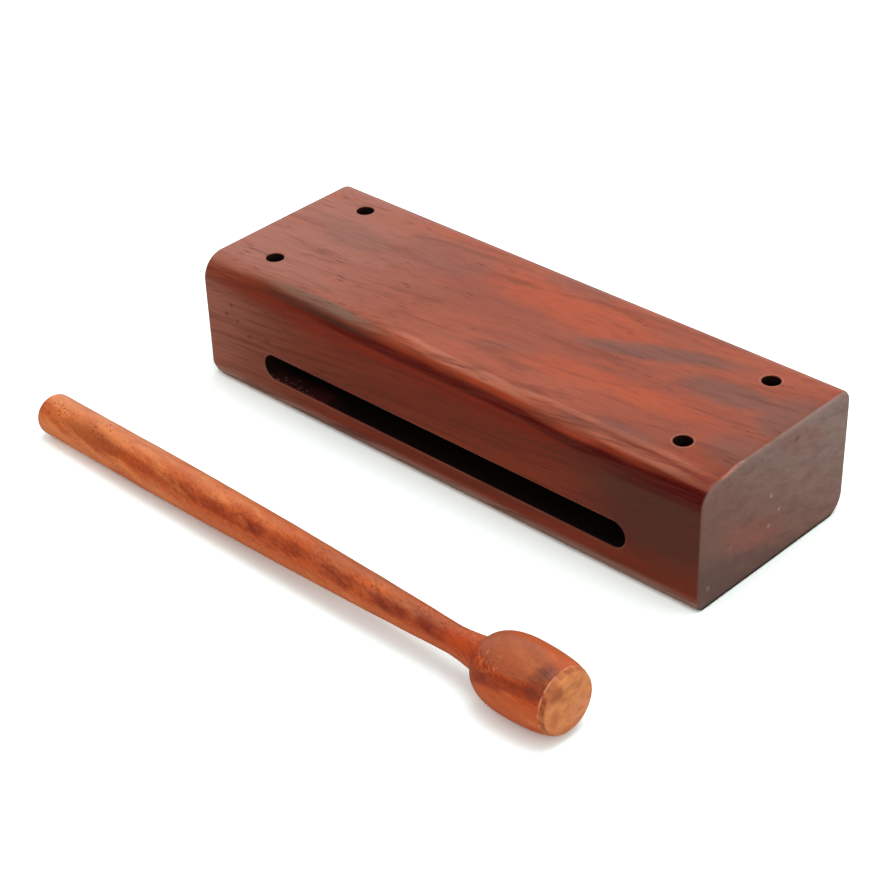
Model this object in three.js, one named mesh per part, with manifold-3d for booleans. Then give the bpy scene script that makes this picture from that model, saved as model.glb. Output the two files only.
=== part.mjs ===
// A wood block with its mallet, two pieces of turned and milled hardwood, in millimetres.
// +X runs along the block, -Y is the long side that holds the sound slot, +Z is up.
// The origin is the middle of the block's bottom face. The mallet lies on the same surface.

import * as THREE from "three";
import { mergeVertices } from "three/addons/utils/BufferGeometryUtils.js";
import Module from "manifold-3d";

// Block, one solid piece of wood
const blockLength = 200;
const blockDepth = 68;
const blockHeight = 43;
const topFrontRound = 8.2;
const topBackRound = 4.6;
const bottomBackRound = 7;
const bottomFrontRound = 2.8;
const endEdgeRound = 1.2;

// Sound slot, milled into the front side and closed at the back
const slotToEnd = 25.75;
const slotShiftX = -0.6;
const slotHeight = 8.9;
const slotToBase = 9;
const slotBackWall = 14;
const slotMouthEase = 0.6;

// Cord holes, one near each corner, drilled from the top right through the bottom
const holeDiameter = 5.8;
const holeToEnd = 17.75;
const holeShiftX = -0.4;
const holeToFront = 15;
const holeToBack = 12;
const holeEase = 0.5;

// Mallet, handle and head turned as one piece, measured along its axis
const malletLength = 223;
const buttDome = 3.7;
const gripDiameter = 13.3;
const gripLength = 45.7;
const gripTaperReach = 75;
const neckDiameter = 8.4;
const neckToEnd = 42.3;
const neckTaperReach = 2;
const neckFlareReach = 5;
const shoulderToEnd = 30;
const shoulderFootDiameter = 11.2;
const bellyDiameter = 22.6;
const bellyToEnd = 16.5;
const headRimDiameter = 19.6;
const headRimToEnd = 2.2;
const headFaceDiameter = 16.4;
const shoulderFootFullnessShare = 0.4;
const shoulderBellyFullnessShare = 0.7;
const headFrontFullnessShare = 0.75;
const headRimFullnessShare = 0.7;

// Where the mallet lies: its middle, counted from the block's front side, and its turn
const malletFromBlock = 59.9;
const malletShiftX = -4;
const malletTurnDegrees = -1.9;

// How finely the round stretches are cut, and how far every cutter runs past the wood
const cornerSteps = 8;
const endEdgeSteps = 3;
const slotEndSteps = 12;
const holeSides = 24;
const profileSteps = 8;
const malletSides = 40;
const cutOverrun = 1;

const blockWood = new THREE.MeshStandardMaterial({ color: 0x8e4636, roughness: 0.42, metalness: 0 });
const malletWood = new THREE.MeshStandardMaterial({ color: 0xb9602f, roughness: 0.5, metalness: 0 });

const manifold = await Module();
manifold.setup();

// Solids and surfaces

function toSolid(geometry) {
  const bare = geometry.clone();
  bare.deleteAttribute("normal");
  bare.deleteAttribute("uv");
  const merged = mergeVertices(bare);
  const mesh = new manifold.Mesh({
    numProp: 3,
    vertProperties: new Float32Array(merged.attributes.position.array),
    triVerts: new Uint32Array(merged.index.array),
  });
  return new manifold.Manifold(mesh);
}

function toGeometry(solid) {
  const mesh = solid.getMesh();
  const geometry = new THREE.BufferGeometry();
  geometry.setAttribute("position", new THREE.BufferAttribute(mesh.vertProperties, mesh.numProp));
  geometry.setIndex(new THREE.BufferAttribute(mesh.triVerts, 1));
  geometry.computeVertexNormals();
  return geometry;
}

// Directions of the drawing planes, as sets of axes that an outline's x, y and normal turn to
const alongX = new THREE.Matrix4().makeBasis(
  new THREE.Vector3(0, 1, 0), new THREE.Vector3(0, 0, 1), new THREE.Vector3(1, 0, 0));
const towardsFront = new THREE.Matrix4().makeBasis(
  new THREE.Vector3(1, 0, 0), new THREE.Vector3(0, 0, 1), new THREE.Vector3(0, -1, 0));

// Block blank: the end view, with its four unlike roundings, run along the length

function endView() {
  const front = -blockDepth / 2;
  const back = blockDepth / 2;
  const quarter = Math.PI / 2;
  const outline = new THREE.Shape();
  outline.absarc(front + bottomFrontRound, bottomFrontRound, bottomFrontRound, 2 * quarter, 3 * quarter);
  outline.absarc(back - bottomBackRound, bottomBackRound, bottomBackRound, 3 * quarter, 4 * quarter);
  outline.absarc(back - topBackRound, blockHeight - topBackRound, topBackRound, 0, quarter);
  outline.absarc(front + topFrontRound, blockHeight - topFrontRound, topFrontRound, quarter, 2 * quarter);
  outline.closePath();
  return outline;
}

function blockBlank() {
  const blank = new THREE.ExtrudeGeometry(endView(), {
    depth: blockLength - 2 * endEdgeRound,
    bevelEnabled: true,
    bevelThickness: endEdgeRound,
    bevelSize: endEdgeRound,
    bevelOffset: -endEdgeRound,
    bevelSegments: endEdgeSteps,
    curveSegments: cornerSteps,
  });
  blank.translate(0, 0, endEdgeRound - blockLength / 2);
  blank.applyMatrix4(alongX);
  return blank;
}

// Sound slot: a level pocket with round ends, and its mouth eased all the way round

function slotOutline() {
  const radius = slotHeight / 2;
  const straight = blockLength / 2 - slotToEnd - radius;
  const outline = new THREE.Shape();
  outline.absarc(straight, 0, radius, -Math.PI / 2, Math.PI / 2);
  outline.absarc(-straight, 0, radius, Math.PI / 2, 1.5 * Math.PI);
  outline.closePath();
  return outline;
}

function placeSlotCutter(cutter, startY) {
  cutter.applyMatrix4(towardsFront);
  cutter.translate(slotShiftX, startY, slotToBase + slotHeight / 2);
  return cutter;
}

function slotPocket() {
  const depth = blockDepth - slotBackWall;
  const pocket = new THREE.ExtrudeGeometry(slotOutline(), {
    depth: depth + cutOverrun,
    bevelEnabled: false,
    curveSegments: slotEndSteps,
  });
  return placeSlotCutter(pocket, blockDepth / 2 - slotBackWall);
}

function slotMouth() {
  const slope = slotMouthEase + cutOverrun;
  const mouth = new THREE.ExtrudeGeometry(slotOutline(), {
    depth: cutOverrun,
    bevelEnabled: true,
    bevelThickness: slope,
    bevelSize: slope,
    bevelOffset: -cutOverrun,
    bevelSegments: 1,
    curveSegments: slotEndSteps,
  });
  return placeSlotCutter(mouth, -blockDepth / 2);
}

// Cord hole: a straight bore whose two rims are eased at 45 degrees

function cordHole(x, y) {
  const radius = holeDiameter / 2;
  const flare = radius + holeEase + cutOverrun;
  const cutter = new THREE.LatheGeometry([
    new THREE.Vector2(0, -cutOverrun),
    new THREE.Vector2(flare, -cutOverrun),
    new THREE.Vector2(radius, holeEase),
    new THREE.Vector2(radius, blockHeight - holeEase),
    new THREE.Vector2(flare, blockHeight + cutOverrun),
    new THREE.Vector2(0, blockHeight + cutOverrun),
  ], holeSides);
  cutter.rotateX(Math.PI / 2);
  cutter.translate(x, y, 0);
  return cutter;
}

function cordHoles() {
  const reach = blockLength / 2 - holeToEnd;
  const holes = [];
  for (const x of [holeShiftX - reach, holeShiftX + reach]) {
    for (const y of [holeToFront - blockDepth / 2, blockDepth / 2 - holeToBack]) {
      holes.push(cordHole(x, y));
    }
  }
  return holes;
}

function blockBody() {
  let wood = toSolid(blockBlank());
  for (const cutter of [slotPocket(), slotMouth(), ...cordHoles()]) {
    wood = wood.subtract(toSolid(cutter));
  }
  const mesh = new THREE.Mesh(toGeometry(wood), blockWood);
  mesh.name = "block_body";
  return mesh;
}

// Mallet: half of its outline from the butt to the flat end of the head, turned round its axis

function malletOutline() {
  const grip = gripDiameter / 2;
  const neck = neckDiameter / 2;
  const foot = shoulderFootDiameter / 2;
  const belly = bellyDiameter / 2;
  const rim = headRimDiameter / 2;
  const face = headFaceDiameter / 2;
  const neckY = malletLength - neckToEnd;
  const footY = malletLength - shoulderToEnd;
  const bellyY = malletLength - bellyToEnd;
  const rimY = malletLength - headRimToEnd;
  const outline = new THREE.Path();
  outline.absellipse(0, buttDome, grip, buttDome, -Math.PI / 2, 0, false, 0);
  outline.lineTo(grip, gripLength);
  outline.bezierCurveTo(grip, gripLength + gripTaperReach, neck, neckY - neckTaperReach, neck, neckY);
  outline.quadraticCurveTo(neck, neckY + neckFlareReach, foot, footY);
  outline.bezierCurveTo(
    foot + (belly - foot) * shoulderFootFullnessShare, footY,
    belly, bellyY - (bellyY - footY) * shoulderBellyFullnessShare,
    belly, bellyY);
  outline.quadraticCurveTo(belly, bellyY + (rimY - bellyY) * headFrontFullnessShare, rim, rimY);
  outline.quadraticCurveTo(face + (rim - face) * headRimFullnessShare, malletLength, face, malletLength);
  outline.lineTo(0, malletLength);
  return outline.getPoints(profileSteps);
}

// The mallet rests on its belly and on the edge of its butt, which tips the head's end upwards

function mallet() {
  const geometry = new THREE.LatheGeometry(malletOutline(), malletSides);
  geometry.translate(0, -malletLength / 2, 0);
  geometry.rotateZ(-Math.PI / 2);
  const span = malletLength - bellyToEnd - buttDome;
  geometry.rotateY(-Math.atan2((bellyDiameter - gripDiameter) / 2, span));
  geometry.computeBoundingBox();
  geometry.translate(0, 0, -geometry.boundingBox.min.z);
  const mesh = new THREE.Mesh(geometry, malletWood);
  mesh.name = "mallet";
  mesh.position.set(malletShiftX, -blockDepth / 2 - malletFromBlock, 0);
  mesh.rotation.z = THREE.MathUtils.degToRad(malletTurnDegrees);
  return mesh;
}

const woodBlock = new THREE.Group();
woodBlock.add(blockBody(), mallet());

export default woodBlock;
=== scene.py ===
# %% [markdown]
# # A wood block and its mallet
#
# A wood block is one solid piece of dense red-brown wood. A narrow sound slot is milled into one long side, and four
# cord holes go down through it. It is struck with a small turned mallet that lies in front of it.
# The solids come packed from CAD, in metres, with +X along the block and +Z up. Here both get their fine shape and
# their wood. The first step loads the solids, and everything after it is placed by their boxes.

# %% Load the solids
from math import atan2, cos, degrees, exp, hypot, pi, radians, sin

import bpy
from mathutils import Matrix, Quaternion, Vector, noise


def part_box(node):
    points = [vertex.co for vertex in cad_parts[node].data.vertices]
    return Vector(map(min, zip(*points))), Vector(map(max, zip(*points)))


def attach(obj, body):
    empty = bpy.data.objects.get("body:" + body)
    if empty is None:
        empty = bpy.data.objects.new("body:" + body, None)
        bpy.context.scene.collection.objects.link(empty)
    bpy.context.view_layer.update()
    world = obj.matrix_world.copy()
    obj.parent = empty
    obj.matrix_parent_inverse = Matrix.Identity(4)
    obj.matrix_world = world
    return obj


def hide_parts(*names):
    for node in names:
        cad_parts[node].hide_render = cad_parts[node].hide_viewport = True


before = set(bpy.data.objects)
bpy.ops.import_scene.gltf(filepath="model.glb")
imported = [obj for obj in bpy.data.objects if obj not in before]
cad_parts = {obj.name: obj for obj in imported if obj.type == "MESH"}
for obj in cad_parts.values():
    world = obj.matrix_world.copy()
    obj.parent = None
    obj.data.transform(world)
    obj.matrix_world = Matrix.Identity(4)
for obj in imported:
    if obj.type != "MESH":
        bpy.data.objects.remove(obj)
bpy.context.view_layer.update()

MM = 0.001
block_low, block_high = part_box("block_body")
mallet_low, mallet_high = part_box("mallet")
block_length, block_depth, block_height = block_high - block_low
print("block, mm:", [round(side / MM, 2) for side in block_high - block_low])
print("mallet's box, mm:", [round(side / MM, 2) for side in mallet_high - mallet_low])

# %% [markdown]
# ## Camera
#
# The photograph looks down from the right of the slot side, with a long lens, so that parallel edges close up only a
# little. The camera is placed by its eye, the point it looks at on the table, and a slight roll to the right.
# A track quaternion aims it without a constraint.

# %% Place the camera
EYE = Vector((0.4149, -0.45571, 0.40517))
LOOKS_AT = Vector((-0.01577, -0.01569, 0))
ROLL_DEGREES = -2.36
LENS_MM = 96.37


def new_object(name, data):
    """An object that shows those data, linked into the scene."""
    made = bpy.data.objects.new(name, data)
    bpy.context.scene.collection.objects.link(made)
    return made


lens = bpy.data.cameras.new("photo_camera")
lens.lens = LENS_MM
camera = new_object("photo_camera", lens)
aim = (LOOKS_AT - EYE).to_track_quat("-Z", "Y") @ Quaternion((0, 0, 1), radians(ROLL_DEGREES))
camera.matrix_world = Matrix.Translation(EYE) @ aim.to_matrix().to_4x4()
bpy.context.scene.camera = camera
bpy.context.scene.view_settings.view_transform = "Standard"
print("camera is", round((LOOKS_AT - EYE).length, 3), "m from the table point it looks at")

# %% [markdown]
# ## Wires and benches
#
# Materials and geometry trees are both built of nodes, and three lines for each node would hide the idea. So a wire
# stands for an output socket and takes Python's own signs, and a bench adds any other node in one call: its type, its
# settings, then what its sockets get. Settings come first, because they decide which sockets there are.

# %% Wires that can be reckoned with
def pick(sockets, key):
    """The socket of that name, or of that number, among those in use."""
    in_use = [socket for socket in sockets if socket.enabled]
    return in_use[key] if isinstance(key, int) else next(s for s in in_use if s.name == key)


def sign(operation, wire_last=False):
    """The method behind one of Python's signs: it adds a Math node to a wire and what stands beside it."""
    return lambda wire, other: wire.bench.maths(operation, *((other, wire) if wire_last else (wire, other)))


class Wire:
    """An output socket. Signs between wires and numbers add Math nodes."""

    def __init__(self, bench, socket):
        self.bench, self.socket = bench, socket

    def other(self, key):
        return Wire(self.bench, pick(self.socket.node.outputs, key))

    __add__ = __radd__ = sign("ADD")
    __mul__ = __rmul__ = sign("MULTIPLY")
    __sub__, __rsub__ = sign("SUBTRACT"), sign("SUBTRACT", wire_last=True)
    __truediv__, __pow__ = sign("DIVIDE"), sign("POWER")


# %% A bench that adds nodes
class Bench:
    """A node tree, and one way to add a node to it."""

    def __init__(self, tree):
        self.tree = tree

    def node(self, kind, settings=None, inputs=None, out=0):
        """Add a node. Its output comes back as a wire. A colour is given as red, green and blue."""
        node = self.tree.nodes.new(kind)
        for name, value in (settings or {}).items():
            setattr(node, name, value)
        for key, value in (inputs or {}).items():
            socket = pick(node.inputs, key)
            for part in value if isinstance(value, list) else [value]:
                if isinstance(part, Wire):
                    self.tree.links.new(part.socket, socket)
                else:
                    socket.default_value = (*part, 1) if socket.type == "RGBA" else part
        return Wire(self, pick(node.outputs, out)) if node.outputs else node

    def maths(self, operation, *values):
        return self.node("ShaderNodeMath", {"operation": operation}, dict(enumerate(values)))

    def parts(self, vector):
        first = self.node("ShaderNodeSeparateXYZ", {}, {0: vector})
        return first, first.other(1), first.other(2)

    def point(self, x, y, z):
        return self.node("ShaderNodeCombineXYZ", {}, {0: x, 1: y, 2: z})


# %% [markdown]
# ## Names for the finishes
#
# The geometry trees below hand out materials, so both are made here, still empty. The cells on wood fill them in.

# %% Two woods, still empty
def empty_material(name):
    material = bpy.data.materials.new(name)
    material.use_nodes = True
    material.node_tree.nodes.clear()
    return material


block_wood = empty_material("block_wood")
mallet_wood = empty_material("mallet_wood")

# %% [markdown]
# ## The block's blank
#
# The blank is planed, its four long edges are rounded to four different radii, and both ends are sawn off and eased
# with a little sanding, all but the edge that stands on the table. A cube with one bevel can't have four radii, so the
# outline of the end is walked round once, corner by corner, and repeated along the length in close rings. Towards the
# base the walk stays out when the rings move in, which keeps that edge sharp.

# %% Outline of the end
TOP_FRONT_ROUND = 8.2 * MM
TOP_BACK_ROUND = 4.6 * MM
BOTTOM_BACK_ROUND = 7 * MM
BOTTOM_FRONT_ROUND = 2.8 * MM
OUTLINE_STEP = 1.4 * MM
BASE_KEPT_SHARP = 0.75
BASE_REACH = 5 * MM
ROUND_STEPS = 14


def between(start, end, step):
    """Points on the way from start to end, without those two."""
    count = max(1, round(hypot(end[0] - start[0], end[1] - start[1]) / step))
    return [(start[0] + (end[0] - start[0]) * k / count, start[1] + (end[1] - start[1]) * k / count)
            for k in range(1, count)]


def end_outline(inset):
    """Points (y, z) round the end, moved in by inset all the way. Their number is always the same."""
    front, back, top = block_low.y, block_high.y, block_height
    corners = [(front + BOTTOM_FRONT_ROUND, BOTTOM_FRONT_ROUND, BOTTOM_FRONT_ROUND, 180),
               (back - BOTTOM_BACK_ROUND, BOTTOM_BACK_ROUND, BOTTOM_BACK_ROUND, 270),
               (back - TOP_BACK_ROUND, top - TOP_BACK_ROUND, TOP_BACK_ROUND, 0),
               (front + TOP_FRONT_ROUND, top - TOP_FRONT_ROUND, TOP_FRONT_ROUND, 90)]
    arcs = []
    for y, z, radius, start in corners:
        angles = [radians(start + 90 * k / ROUND_STEPS) for k in range(ROUND_STEPS + 1)]
        arcs.append([(y + (radius - inset) * cos(a), z + (radius - inset) * sin(a)) for a in angles])
    points = []
    for k, arc in enumerate(arcs):
        points += arc + between(arc[-1], arcs[(k + 1) % len(arcs)][0], OUTLINE_STEP)
    return [(y, z - inset * BASE_KEPT_SHARP * max(0, 1 - (z - inset) / BASE_REACH)) for y, z in points]


print("points round the end:", len(end_outline(0)))

# %% Rings along the length
END_EASE = 1.2 * MM
EASE_STEPS = 4
CAP_RIM = 0.5 * MM
RING_STEP = 1.5 * MM


def block_rings():
    """Pairs of a ring's x and how far it is moved in, from the left end to the right one."""
    half = block_length / 2
    turns = [radians(90 * k / EASE_STEPS) for k in range(EASE_STEPS + 1)]
    end = [(half, END_EASE + CAP_RIM)]
    end += [(half - END_EASE * (1 - cos(t)), END_EASE * (1 - sin(t))) for t in turns]
    inner = half - END_EASE
    count = round(2 * inner / RING_STEP)
    middle = [(-inner + 2 * inner * k / count, 0) for k in range(1, count)]
    return [(-x, inset) for x, inset in end] + middle + end[::-1]


print("rings:", len(block_rings()))

# %% [markdown]
# Close rings leave room for what a saw, a belt sander and a few years do: ends that are a little long, the right one
# askew, faces that are never quite flat, a top corner sanded away too far, and a corner of the base that has been
# knocked off. Noise vectors start from the clock unless they are given a seed, so they get one, and every run makes
# the same surface.

# %% Wear of the blank
WEAR_SEED = 5
SANDING_SWELL = 0.16 * MM
SANDING_WAVE = 38 * MM
SWELL_ALONG_GRAIN = 0.5
ON_TABLE = 0.01 * MM
KNOCK_NORMAL = Vector((-0.62, -0.35, -0.7)).normalized()
KNOCK_DEPTH = 2.4 * MM
knock_corner = Vector((block_low.x, block_low.y, 0))
CORNER_SAG = 1.3 * MM
CORNER_SAG_FROM_FRONT = 9 * MM
CORNER_SAG_REACH = (24 * MM, 9 * MM, 9 * MM)
CORNER_SAG_REACH_OVER_ROUND = 16 * MM
LEFT_LONGER = 1 * MM
RIGHT_MORE_AT_TOP = 0.7 * MM
RIGHT_MORE_AT_BACK = 0.75 * MM
LONGER_FROM = 60 * MM

noise.seed_set(WEAR_SEED)


def fade(share):
    """1 at no distance and 0 at the full reach, smooth at both."""
    share = min(1, abs(share))
    return 1 - share * share * (3 - 2 * share)


def lengthened(point):
    """How far a point moves along x, because the saw left both ends a little long and the right one askew."""
    share = 1 - fade(max(0, abs(point.x) - LONGER_FROM) / (block_length / 2 - LONGER_FROM))
    if point.x < 0:
        return -LEFT_LONGER * share
    at_top, at_back = point.z / block_height, (point.y - block_low.y) / block_depth
    return (RIGHT_MORE_AT_TOP * at_top + RIGHT_MORE_AT_BACK * at_back) * share


def worn(point):
    """A point of the blank after sawing and sanding, the sag of one top corner and the knock."""
    swell = noise.noise_vector(Vector((point.x * SWELL_ALONG_GRAIN, point.y, point.z)) / SANDING_WAVE) * SANDING_SWELL
    moved = point + Vector((swell.x * SWELL_ALONG_GRAIN + lengthened(point), swell.y, swell.z))
    from_corner = point.y - block_low.y - CORNER_SAG_FROM_FRONT
    sag = fade((block_high.x - point.x) / CORNER_SAG_REACH[0])
    sag *= fade(from_corner / (CORNER_SAG_REACH[1] if from_corner > 0 else CORNER_SAG_REACH_OVER_ROUND))
    moved.z -= CORNER_SAG * sag * fade((block_height - point.z) / CORNER_SAG_REACH[2])
    beyond = (moved - knock_corner).dot(KNOCK_NORMAL) + KNOCK_DEPTH
    if beyond > 0:
        moved -= KNOCK_NORMAL * beyond
    moved.z = max(0.0, moved.z) if point.z > ON_TABLE else 0.0
    return moved


# %% Make the blank
def mesh_object(name, points, faces, edges=()):
    mesh = bpy.data.meshes.new(name)
    mesh.from_pydata([tuple(p) for p in points], list(edges), faces)
    mesh.update()
    return new_object(name, mesh)


def loft(rings):
    """Points and faces of a closed body from rings of equally many points, capped at both ends."""
    around = len(rings[0])
    points = [p for ring in rings for p in ring]
    faces = [(row * around + k, row * around + (k + 1) % around,
              (row + 1) * around + (k + 1) % around, (row + 1) * around + k)
             for row in range(len(rings) - 1) for k in range(around)]
    last = (len(rings) - 1) * around
    return points, [tuple(range(around))[::-1]] + faces + [tuple(range(last, last + around))]


blank_rings = [[worn(Vector((x, y, z))) for y, z in end_outline(inset)] for x, inset in block_rings()]
blank = mesh_object("wood_block_blank", *loft(blank_rings))
print("blank:", len(blank.data.vertices), "points")

# %% [markdown]
# ## Cutters for the slot and the cord holes
#
# The real slot is run with a round-nosed cutter, which leaves half-round ends, and its mouth is broken with a scraper.
# The holes are drilled, and the drill's edge leaves a fine countersink. Both cutters here are closed bodies with that
# rounded lip, so the cut itself rounds the edge of the wood.

# %% The lip of a cutter
LIP_STEPS = 4
LIP_END_DEGREES = 62
PAST_THE_WOOD = 1 * MM


def lip(ease):
    """Pairs of depth below the face and growth of the cutter, from inside to past the face."""
    turns = [radians(LIP_END_DEGREES * k / LIP_STEPS) for k in range(LIP_STEPS + 1)]
    pairs = [(ease * (1 - sin(t)), ease * (1 - cos(t))) for t in turns]
    past = (pairs[-1][0] + PAST_THE_WOOD) / cos(turns[-1])
    return pairs + [(-PAST_THE_WOOD, pairs[-1][1] + past * sin(turns[-1]))]


# %% Slot cutter
SLOT_TO_END = 25.75 * MM
SLOT_SHIFT_X = -0.6 * MM
SLOT_HEIGHT = 8.9 * MM
SLOT_TO_BASE = 9 * MM
SLOT_BACK_WALL = 14 * MM
SLOT_EASE = 0.32 * MM
SLOT_END_STEPS = 20


def slot_ring(y, grow):
    """The slot's outline at depth y: two half rounds joined by straights."""
    radius = SLOT_HEIGHT / 2
    reach = block_length / 2 - SLOT_TO_END - radius
    ring = []
    for side, start in ((1, -90), (-1, 90)):
        angles = [radians(start + 180 * k / SLOT_END_STEPS) for k in range(SLOT_END_STEPS + 1)]
        ring += [Vector((SLOT_SHIFT_X + side * reach + (radius + grow) * cos(a), y,
                         SLOT_TO_BASE + radius + (radius + grow) * sin(a))) for a in angles]
    return ring


slot_rings = [slot_ring(block_high.y - SLOT_BACK_WALL, 0)]
slot_rings += [slot_ring(block_low.y + depth, grow) for depth, grow in lip(SLOT_EASE)]
slot_cutter = mesh_object("slot_cutter", *loft(slot_rings))
mouth_height = SLOT_HEIGHT + 2 * lip(SLOT_EASE)[-2][1]
print("slot cutter:", len(slot_rings), "rings, mouth", round(mouth_height / MM, 2), "mm high")

# %% [markdown]
# ## A lathe
#
# The mallet is turned, and so is the shape that a drill leaves. Both follow one rule: half an outline goes round an
# axis. A geometry tree can do that: a grid gets a row for each point of the outline and a column for each step
# round the axis, and every grid point is set to its place. Merging close points closes the seam and both poles.
# The tree's inputs are named, so the same lathe turns both shapes. Turned wood dries a little out of round, which is
# slow noise along the axis and round it.

# %% Build the lathe
MERGED_BELOW = 0.0005 * MM
WAVES_PER_METRE = 30
WAVES_ROUND = 0.6


def new_tree(name, inputs):
    """A geometry tree with its named inputs, its bench and the wires of those inputs."""
    tree = bpy.data.node_groups.new(name, "GeometryNodeTree")
    for label, kind in inputs:
        tree.interface.new_socket(label, in_out="INPUT", socket_type="NodeSocket" + kind)
    tree.interface.new_socket("Result", in_out="OUTPUT", socket_type="NodeSocketGeometry")
    bench = Bench(tree)
    first = bench.node("NodeGroupInput")
    return tree, bench, [first.other(label) for label, kind in inputs]


def finish_tree(bench, shape, sharp_from, material):
    """Smooth shading broken at sharp edges, then realized instances and the material."""
    smooth = bench.node("GeometryNodeSetShadeSmooth", {"domain": "FACE"}, {"Geometry": shape})
    angle = bench.node("GeometryNodeInputMeshEdgeAngle")
    is_sharp = bench.node("FunctionNodeCompare", {"data_type": "FLOAT", "operation": "GREATER_THAN"},
                          {"A": angle, "B": sharp_from})
    edged = bench.node("GeometryNodeSetShadeSmooth", {"domain": "EDGE"},
                       {"Geometry": smooth, "Selection": is_sharp, "Shade Smooth": False})
    real = bench.node("GeometryNodeRealizeInstances", {}, {"Geometry": edged})
    dressed = bench.node("GeometryNodeSetMaterial", {}, {"Geometry": real, "Material": material})
    bench.node("NodeGroupOutput", {}, {"Result": dressed})


lathe, bench, (outline, sides, out_of_round, sharp, wood) = new_tree("lathe", [
    ("Outline", "Geometry"), ("Sides", "Int"), ("Out of round", "Float"), ("Sharp from", "Float"),
    ("Wood", "Material")])
rows = bench.node("GeometryNodeAttributeDomainSize", {"component": "MESH"}, {"Geometry": outline}, "Point Count")
grid = bench.node("GeometryNodeMeshGrid", {}, {"Vertices X": rows, "Vertices Y": sides + 1})
number = bench.node("GeometryNodeInputIndex")
row = bench.maths("FLOOR", number / (sides + 1))
turn = (number - row * (sides + 1)) / sides * (2 * pi)
spot = bench.node("GeometryNodeInputPosition")
sample = bench.node("GeometryNodeSampleIndex", {"data_type": "FLOAT_VECTOR", "domain": "POINT"},
                    {"Geometry": outline, "Value": spot, "Index": row})
along, radius = bench.parts(sample)[::2]
sine, cosine = bench.maths("SINE", turn), bench.maths("COSINE", turn)
around = bench.point(along * WAVES_PER_METRE, sine * WAVES_ROUND, cosine * WAVES_ROUND)
uneven = bench.node("ShaderNodeTexNoise", {}, {"Vector": around, "Scale": 1, "Detail": 2}) - 0.5
radius = radius * (1 + out_of_round * uneven)
set_out = bench.node("GeometryNodeSetPosition", {}, {
    "Geometry": grid, "Position": bench.point(along, radius * sine, radius * cosine)})
closed = bench.node("GeometryNodeMergeByDistance", {}, {"Geometry": set_out, "Distance": MERGED_BELOW})
finish_tree(bench, closed, sharp, wood)
print("lathe tree:", len(lathe.nodes), "nodes")

# %% [markdown]
# A modifier runs a tree, and its inputs are set by the identifier of each socket. What it makes is then copied
# into a plain mesh, because only a plain mesh can be handed on.

# %% Run a tree and keep what it makes
def worked(start, tree, name, values):
    """The plain mesh object that a tree makes of a starting object, which is used up."""
    modifier = start.modifiers.new(tree.name, "NODES")
    modifier.node_group = tree
    sockets = {item.name: item.identifier for item in tree.interface.items_tree if item.in_out == "INPUT"}
    for label, value in values.items():
        modifier[sockets[label]] = value
    depsgraph = bpy.context.evaluated_depsgraph_get()
    mesh = bpy.data.meshes.new_from_object(start.evaluated_get(depsgraph), depsgraph=depsgraph)
    mesh.name = name
    bpy.data.objects.remove(start)
    print(name, "has", len(mesh.vertices), "points and", len(mesh.polygons), "faces")
    return new_object(name, mesh)


def outline_object(name, pairs):
    """An outline for the lathe, from pairs of place along the axis and radius."""
    points = [(along, 0, radius) for along, radius in pairs]
    return mesh_object(name, points, [], [(k, k + 1) for k in range(len(points) - 1)])


# %% Turn the drill
HOLE_DIAMETER = 5.8 * MM
HOLE_EASE = 0.3 * MM
HOLE_SIDES = 48
SHARP_ON_DRILL = radians(30)

hole_lip = [(depth, HOLE_DIAMETER / 2 + grow) for depth, grow in lip(HOLE_EASE)]
drill_pairs = [(-PAST_THE_WOOD, 0)] + hole_lip[::-1]
drill_pairs += [(block_height - depth, radius) for depth, radius in hole_lip] + [(block_height + PAST_THE_WOOD, 0)]
drill = worked(outline_object("drill_outline", drill_pairs), lathe, "drill",
               {"Sides": HOLE_SIDES, "Out of round": 0.0, "Sharp from": SHARP_ON_DRILL, "Wood": block_wood})
drill.data.transform(Matrix.Rotation(radians(-90), 4, "Y"))

# %% [markdown]
# ## Drilling and milling the block
#
# The four holes repeat one cut on the corners of a rectangle, so a two by two grid gives their places, the drill is
# an instance on each, and one boolean takes the four holes and the slot out of the blank. Where a cut runs through a
# corner of the blank's mesh it can leave two points in one place, and those are merged.

# %% Build the tree that drills and mills
drilling, bench, (blank_in, drill_in, slot_in, length, depth, middle, sharp, wood) = new_tree("drill_and_mill", [
    ("Blank", "Geometry"), ("Drill", "Object"), ("Slot cutter", "Object"), ("Pattern length", "Float"),
    ("Pattern depth", "Float"), ("Pattern middle", "Vector"), ("Sharp from", "Float"), ("Wood", "Material")])
corners = bench.node("GeometryNodeMeshGrid", {}, {
    "Size X": length, "Size Y": depth, "Vertices X": 2, "Vertices Y": 2})
places = bench.node("GeometryNodeTransform", {}, {"Geometry": corners, "Translation": middle})
one_drill = bench.node("GeometryNodeObjectInfo", {}, {"Object": drill_in}, "Geometry")
four_drills = bench.node("GeometryNodeInstanceOnPoints", {}, {"Points": places, "Instance": one_drill})
real_drills = bench.node("GeometryNodeRealizeInstances", {}, {"Geometry": four_drills})
mill = bench.node("GeometryNodeObjectInfo", {}, {"Object": slot_in}, "Geometry")
cut = bench.node("GeometryNodeMeshBoolean", {"operation": "DIFFERENCE", "solver": "MANIFOLD"},
                 {"Mesh 1": blank_in, "Mesh 2": [real_drills, mill]})
clean = bench.node("GeometryNodeMergeByDistance", {}, {"Geometry": cut, "Distance": MERGED_BELOW})
finish_tree(bench, clean, sharp, wood)
print("drill_and_mill tree:", len(drilling.nodes), "nodes")

# %% Drill and mill
HOLE_TO_END = 17.75 * MM
HOLE_SHIFT_X = -0.4 * MM
HOLE_TO_FRONT = 15 * MM
HOLE_TO_BACK = 12 * MM
SHARP_ON_BLOCK = radians(26)

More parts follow.
